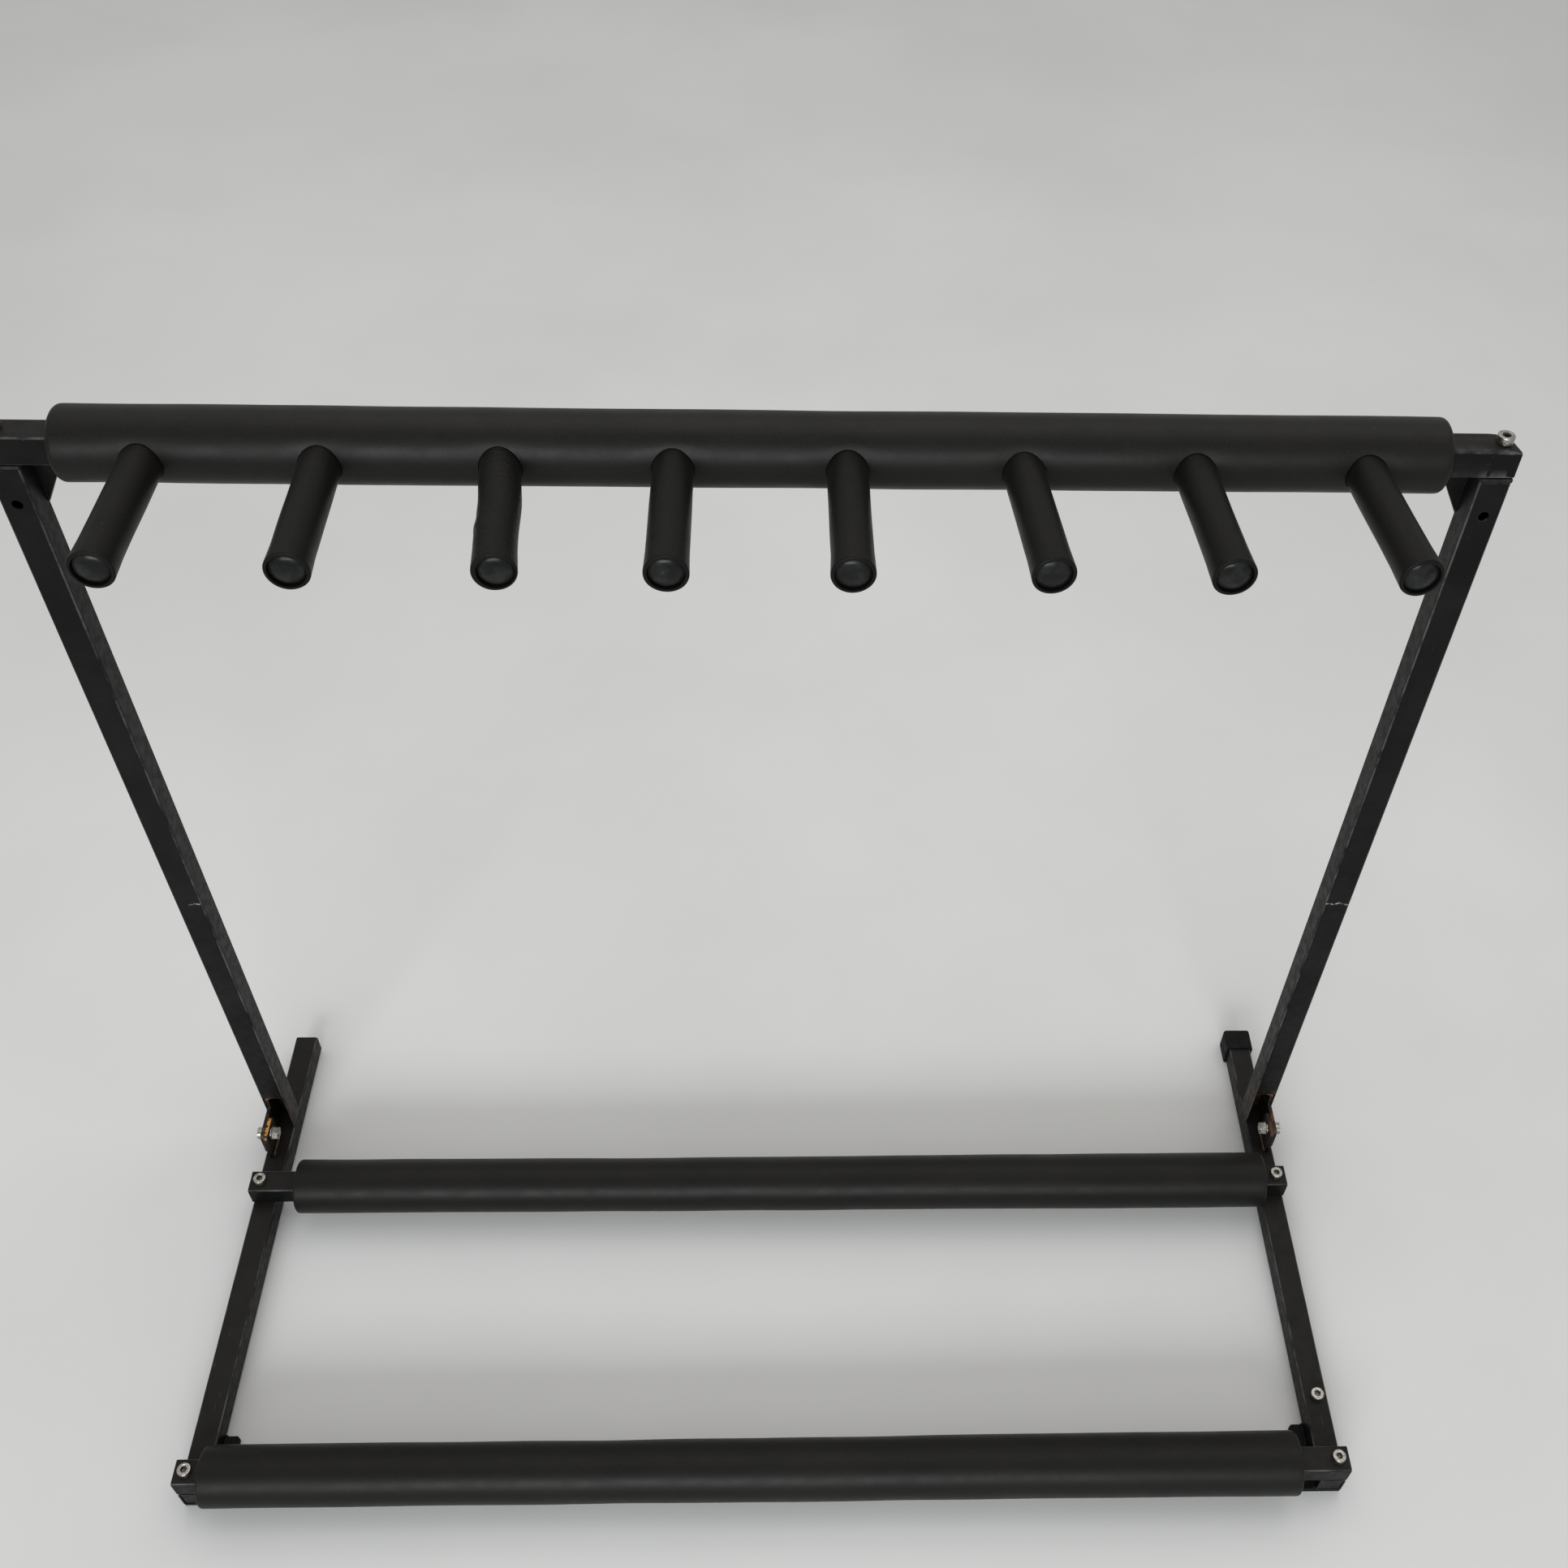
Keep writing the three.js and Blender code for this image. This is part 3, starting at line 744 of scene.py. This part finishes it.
def hinge_hardware():
    """Dished bolt head outside, washer and hexagon nut inside, each about the X axis."""
    curve_steps = 8
    for label, side in SIDES:
        low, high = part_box(f"pivot_bolt_{label}")
        length = high.x - low.x
        radius = (high.z - low.z) / 2
        angles = [math.pi / 2 * i / curve_steps for i in reversed(range(curve_steps))]
        dish = BOLT_HEAD_HEIGHT - BOLT_HEAD_EDGE
        bolt = turned(f"{label}_pivot_bolt_fine", [
            (radius * 0.02, 0.0),
            *[(radius * math.cos(a), dish * math.sin(a)) for a in angles],
            (radius, BOLT_HEAD_HEIGHT),
            (SHANK_RADIUS, BOLT_HEAD_HEIGHT),
            (SHANK_RADIUS, length - END_CHAMFER),
            (SHANK_RADIUS * 0.8, length),
        ])
        outer = low.x if side < 0 else high.x
        centre = (low + high) / 2
        inwards = Matrix.Rotation(-side * math.pi / 2, 4, "Y")
        place(bolt, Matrix.Translation((outer, centre.y, centre.z)) @ inwards)
        soften(bolt, 35)
        finished(bolt, f"pivot_bolt_{label}", "zinc_steel", zinc_plate)

        washer = refined(f"pivot_washer_{label}", f"{label}_pivot_washer_fine", 0.25 * MM)
        finished(washer, f"pivot_washer_{label}", "zinc_steel", zinc_plate)
        nut = refined(f"pivot_nut_{label}", f"{label}_pivot_nut_fine", 0.6 * MM)
        finished(nut, f"pivot_nut_{label}", "zinc_steel", zinc_plate)


hinge_hardware()


# ---------------------------------------------------------------------------------------------
# Foam sleeves


def block(name, low, high):
    piece = added(
        bpy.ops.mesh.primitive_cube_add, name, size=1, location=(low + high) / 2, scale=high - low,
    )
    settle(piece)
    return piece


def foam_stock(name, radius, length, sides, shoulder, rings, both_ends=True):
    """Foam rod about Z from 0 to length, with rounded ends, ringed so that it can be shaped."""
    piece = added(
        bpy.ops.mesh.primitive_cylinder_add, name,
        vertices=sides, radius=radius, depth=length, location=(0, 0, length / 2),
    )
    settle(piece)
    corners = piece.data.vertices
    pick(piece, "EDGE", lambda edge: abs(
        corners[edge.vertices[0]].co.z - corners[edge.vertices[1]].co.z) > length / 2)
    bpy.ops.mesh.subdivide(number_cuts=rings)
    done_editing()

    def on_rim(edge):
        heights = [corners[v].co.z for v in edge.vertices]
        top = min(heights) > length - 0.01 * MM
        bottom = max(heights) < 0.01 * MM
        return top or (bottom and both_ends)

    corners = piece.data.vertices
    pick(piece, "EDGE", on_rim)
    bpy.ops.mesh.bevel(offset=shoulder, segments=6, profile=0.55, affect="EDGES", clamp_overlap=False)
    done_editing()
    return piece


def along_x(low, centre):
    """Turns a piece about Z into one along X that starts at low."""
    return Matrix.Translation((low.x, centre.y, centre.z)) @ Matrix.Rotation(math.pi / 2, 4, "Y")


def waver(piece, centre, amount, spacing, key):
    """Slow unevenness of soft foam round an axis along X through centre."""
    for vertex in piece.data.vertices:
        out = Vector((0, vertex.co.y - centre.y, vertex.co.z - centre.z))
        if out.length < 1 * MM:
            continue
        swing = noise.noise(Vector((vertex.co.x / spacing + key, out.y * 18, out.z * 18)))
        vertex.co += out.normalized() * amount * (swing - 0.25)


def swell(piece, low, high):
    """A crossbar sleeve is a little fatter and rides higher towards its right end."""
    for vertex in piece.data.vertices:
        share = max(0.0, (vertex.co.x - low.x) / (high.x - low.x) - 0.35) / 0.65
        grown = SLEEVE_SWELL * share / ((high.z - low.z) / 2)
        middle_z = (low.z + high.z) / 2
        vertex.co.y += (vertex.co.y - (low.y + high.y) / 2) * grown
        vertex.co.z += (vertex.co.z - middle_z) * grown + SLEEVE_LIFT * share


def peg_lines():
    """Base point on the top bar's centre line and direction of every peg."""
    bar = middle("top_bar")
    lines = []
    number = 1
    while f"peg_tube_{number}" in nodes:
        root = balance(f"peg_tube_{number}")
        direction = (balance(f"peg_cap_{number}") - root).normalized()
        base = root + direction * ((bar.y - root.y) / direction.y)
        lines.append((number, base, direction))
        number += 1
    return lines


PEGS = peg_lines()
PEG_RADIUS = width("peg_foam_1") / 2  # the first peg points straight ahead, so its box is its width


def peg_frame(base, direction):
    """Matrix that stands a piece about Z on the bar's centre line, pointing along the peg."""
    turn = direction.to_track_quat("Z", "Y").to_matrix().to_4x4()
    return Matrix.Translation(base) @ turn


def dimple(piece):
    """The big sleeve sinks a little round each peg."""
    for vertex in piece.data.vertices:
        for _, base, direction in PEGS:
            away = vertex.co - base
            along = away.dot(direction)
            if along <= 0:
                continue
            gap = (away - direction * along).length - PEG_RADIUS
            if gap < DIMPLE_REACH:
                depth = PEG_DIMPLE * (1 - max(0.0, gap) / DIMPLE_REACH) ** 2
                vertex.co -= direction * depth


def bar_sleeve(node, bar, key, pegged=False):
    low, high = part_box(node)
    centre = (low + high) / 2
    radius = (high.z - low.z) / 2
    length = high.x - low.x
    rings = round(length / RING_SPACING)
    shoulder = TOP_SHOULDER if pegged else SLEEVE_SHOULDER
    piece = foam_stock(f"{node}_sleeve", radius, length, SLEEVE_SIDES, shoulder, rings)
    place(piece, along_x(low, centre))
    waver(piece, centre, SLEEVE_WAVER, SLEEVE_WAVE_LENGTH, key)
    if pegged:
        dimple(piece)
    else:
        swell(piece, low, high)
    bar_low, bar_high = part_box(bar)
    play = Vector((0, SLEEVE_PLAY, SLEEVE_PLAY))
    cut(piece, block("bar_cutter", bar_low - play, bar_high + play))
    if pegged:
        for _, base, direction in PEGS:
            cutter = added(
                bpy.ops.mesh.primitive_cylinder_add, "peg_cutter",
                vertices=PEG_SIDES, radius=PEG_RADIUS - PEG_SLIM + PEG_PLAY, depth=2 * radius,
                location=(0, 0, (bar_high.y - bar_low.y) / 2 + radius),
            )
            settle(cutter)
            place(cutter, peg_frame(base, direction))
            cut(piece, cutter)
    soften(piece, 38)
    finished(piece, node, "foam", foam_bar)


bar_sleeve("front_crossbar_foam", "front_crossbar", 3.1)
bar_sleeve("rear_crossbar_foam", "rear_crossbar", 17.4)
bar_sleeve("top_bar_foam", "top_bar", 41.9, pegged=True)


# ---------------------------------------------------------------------------------------------
# Pegs


RUCKED_PEG = 3
BAR_HALF = (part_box("top_bar")[1].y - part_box("top_bar")[0].y) / 2


def peg_reach(number, base, direction, node):
    """How far a node of this peg reaches from the bar's centre line."""
    corners = [v.co for v in nodes[f"{node}_{number}"].data.vertices]
    return max((corner - base).dot(direction) for corner in corners)


def ruck(vertex, length):
    """A sleeve pushed off line: two thirds of the way out it folds and leans towards -X."""
    share = vertex.co.z / length
    lean = max(0.0, min(1.0, (share - 0.42) / 0.4))
    lean = lean * lean * (3 - 2 * lean)
    fold = math.exp(-((share - 0.66) / 0.035) ** 2) - 0.8 * math.exp(-((share - 0.58) / 0.04) ** 2)
    side = vertex.co.x / PEG_RADIUS
    early = math.exp(-((share - 0.42) / 0.16) ** 2)
    vertex.co.x += (0.55 * early - 1.1 * lean) * MM
    vertex.co.x += 0.45 * MM * fold * min(side, 0.0)


def peg_sleeve(number, base, direction):
    start = BAR_HALF + 0.8 * MM
    reach = peg_reach(number, base, direction, "peg_foam")
    length = reach - start
    name = f"peg_{number}_sleeve"
    piece = foam_stock(name, PEG_RADIUS, length, PEG_SIDES, PEG_LIP, PEG_RINGS, both_ends=False)
    for vertex in piece.data.vertices:
        out = Vector((vertex.co.x, vertex.co.y, 0))
        if out.length > 1 * MM:
            spot = Vector((vertex.co.x * 60, vertex.co.y * 60, vertex.co.z * 28 + number * 7))
            swing = noise.noise(spot)
            flare = max(0.0, (vertex.co.z - length + PEG_FLARE) / PEG_FLARE)
            slim = PEG_SLIM * (1 - flare)
            vertex.co += out.normalized() * (PEG_WAVER * (swing - 0.5) - slim)
        if number == RUCKED_PEG:
            ruck(vertex, length)
    bore = width("peg_cap_1") / 2 + BORE_PLAY
    cutter = added(
        bpy.ops.mesh.primitive_cylinder_add, "bore_cutter",
        vertices=PEG_SIDES, radius=bore, depth=2 * length, location=(0, 0, length / 2),
    )
    settle(cutter)
    if number == RUCKED_PEG:
        cutter.data.transform(Matrix.Translation((-0.3 * MM, 0, 0)))
    cut(piece, cutter)
    place(piece, peg_frame(base, direction) @ Matrix.Translation((0, 0, start)))
    soften(piece, 38)
    skin = foam_rucked if number == RUCKED_PEG else foam_peg
    finished(piece, f"peg_foam_{number}", "foam", skin)


def peg_cap(number, base, direction):
    reach = peg_reach(number, base, direction, "peg_cap")
    radius = width("peg_cap_1") / 2
    stub = radius - 1.9 * MM
    rise = 4.0 * MM
    rim = 2.0 * MM
    steps = [math.pi / 2 * i / 10 for i in range(10)]
    dome = [(radius * math.cos(a), reach - rise + rise * math.sin(a)) for a in steps]
    seat = reach - rise - rim
    piece = turned(f"peg_{number}_dome", [
        (stub, seat - 10 * MM),
        (stub, seat),
        (radius - 0.3 * MM, seat),
        (radius, seat + 0.3 * MM),
        *dome,
        (radius * 0.02, reach),
    ])
    place(piece, peg_frame(base, direction))
    soften(piece, 40)
    finished(piece, f"peg_cap_{number}", "black_plastic", gloss_cap)


for number, base, direction in PEGS:
    peg_sleeve(number, base, direction)
    peg_cap(number, base, direction)
    tube = nodes[f"peg_tube_{number}"]
    tube.data.materials.clear()
    tube.data.materials.append(coat)


# ---------------------------------------------------------------------------------------------
# Plugs, feet and rear cap


def leg_plug(label):
    """Square plug with an X of ribs on its face."""
    node = f"leg_plug_{label}"
    piece = refined(node, f"{label}_leg_plug_ribbed", 0.6 * MM)
    low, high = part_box(node)
    front = low.y + 0.05 * MM
    corners = piece.data.vertices
    pick(piece, "FACE", lambda face: all(corners[v].co.y < front for v in face.vertices))
    bpy.ops.mesh.inset(thickness=1.6 * MM, depth=-0.8 * MM)
    bpy.ops.mesh.poke(offset=-1.0 * MM)
    done_editing()
    soften(piece, 30)
    finished(piece, node, "black_plastic", dull_plug)


for label, _ in SIDES:
    leg_plug(label)
    plug = refined(f"upright_plug_{label}", f"{label}_upright_plug_moulded", 0.4 * MM)
    finished(plug, f"upright_plug_{label}", "black_plastic", dull_plug)
    foot = refined(f"front_foot_{label}", f"{label}_front_foot_moulded", 0.8 * MM)
    finished(foot, f"front_foot_{label}", "rubber", rubber)


def rear_cap():
    """Slip-on rubber cap with soft corners and a torn mouth."""
    low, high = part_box("rear_cap_right")
    piece = block("right_rear_cap_moulded", low, high)
    corners = piece.data.vertices

    def clear_of_mouth(edge):
        return not all(corners[v].co.y < low.y + 0.01 * MM for v in edge.vertices)

    pick(piece, "EDGE", clear_of_mouth)
    bpy.ops.mesh.bevel(offset=2.6 * MM, segments=5, profile=0.5, affect="EDGES")
    done_editing()
    leg_low, leg_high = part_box("leg_right")
    play = Vector((0.2, 0, 0.2)) * MM
    inside_low = Vector((leg_low.x, low.y - 5 * MM, leg_low.z)) - play
    inside_high = Vector((leg_high.x, leg_high.y + 0.2 * MM, leg_high.z)) + play
    cut(piece, block("leg_cutter", inside_low, inside_high))
    shares = (0.06, 0.13, 0.24, 0.42, 0.65, 0.85)
    sliced(piece, 1, [low.y + share * (high.y - low.y) for share in shares])
    sliced(piece, 0, [(low.x + high.x) / 2 + i * 2 * MM for i in range(-5, 6)])
    for vertex in piece.data.vertices:
        near_mouth = max(0.0, 1 - (vertex.co.y - low.y) / (5 * MM))
        tear = noise.noise(Vector((vertex.co.x * 420, 2.3, vertex.co.z * 300)))
        vertex.co.y += near_mouth * 1.1 * MM * (0.5 + 0.5 * tear)
    soften(piece, 45)
    finished(piece, "rear_cap_right", "rubber", rubber)


rear_cap()


# ---------------------------------------------------------------------------------------------
# Floor, light and camera


FLOOR_SIZE = 60
FLOOR_DARK = (0.56, 0.56, 0.555, 1)
FLOOR_PALE = (0.60, 0.60, 0.595, 1)
ROOM_COLOUR = (0.97, 0.97, 0.96, 1)
ROOM_STRENGTH = 0.62


def studio():
    floor = added(
        bpy.ops.mesh.primitive_plane_add, "studio_floor", size=FLOOR_SIZE, location=(0, 0, 0),
    )
    paint = Paint("pale_floor")
    patches = paint.spread(paint.grain(1.5, 4), 0.3, 0.7)
    colour = paint.blend(patches, FLOOR_DARK, FLOOR_PALE)
    floor.data.materials.append(paint.finish(Base_Color=colour, Roughness=0.85))

    world = bpy.data.worlds.new("soft_room")
    bpy.context.scene.world = world
    world.use_nodes = True
    background = world.node_tree.nodes["Background"]
    background.inputs["Color"].default_value = ROOM_COLOUR
    background.inputs["Strength"].default_value = ROOM_STRENGTH

    def panel(name, location, target, size, power, colour, spread=180):
        light = bpy.data.lights.new(name, "AREA")
        light.shape = "RECTANGLE"
        light.size, light.size_y = size
        light.energy = power
        light.color = colour
        light.spread = math.radians(spread)
        lamp = bpy.data.objects.new(name, light)
        lamp.location = location
        aim = Vector(target) - Vector(location)
        lamp.rotation_euler = aim.to_track_quat("-Z", "Y").to_euler()
        bpy.context.scene.collection.objects.link(lamp)

    panel(
        "overhead_panel", location=(0.2, 0.9, 3.2), target=(0, 0, 0.3),
        size=(3.2, 2.4), power=34, colour=(1.0, 0.97, 0.93),
    )
    panel(
        "window_panel", location=(-0.5, -3.6, 1.75), target=(0, 0, 0.5),
        size=(2.8, 0.9), power=33, colour=(0.93, 0.98, 1.0), spread=90,
    )
    bpy.context.scene.view_settings.view_transform = "Standard"


studio()


LENS = 37.4
SENSOR_WIDTH = 36
LENS_SHIFT = -0.048
YAW, PITCH, ROLL = -2.8, 46.48, 2.16  # degrees, with pitch downwards
EYE_OFFSET = (0.0266, -0.7379, 1.3033)  # from the rear crossbar's middle, at the top of the legs


def standing_camera():
    """Standing in front of the rack and looking down at it."""
    across, along, up = EYE_OFFSET
    rear = middle("rear_crossbar")
    leg_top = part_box("leg_left")[1].z
    data = bpy.data.cameras.new("standing_view")
    data.lens = LENS
    data.sensor_width = SENSOR_WIDTH
    data.shift_x = LENS_SHIFT
    camera = bpy.data.objects.new("standing_view", data)
    turn = (
        Matrix.Rotation(math.radians(YAW), 4, "Z")
        @ Matrix.Rotation(math.radians(90 - PITCH), 4, "X")
        @ Matrix.Rotation(math.radians(ROLL), 4, "Z")
    )
    eye = Vector((rear.x + across, rear.y + along, leg_top + up))
    camera.matrix_world = Matrix.Translation(eye) @ turn
    bpy.context.scene.collection.objects.link(camera)
    bpy.context.scene.camera = camera


standing_camera()
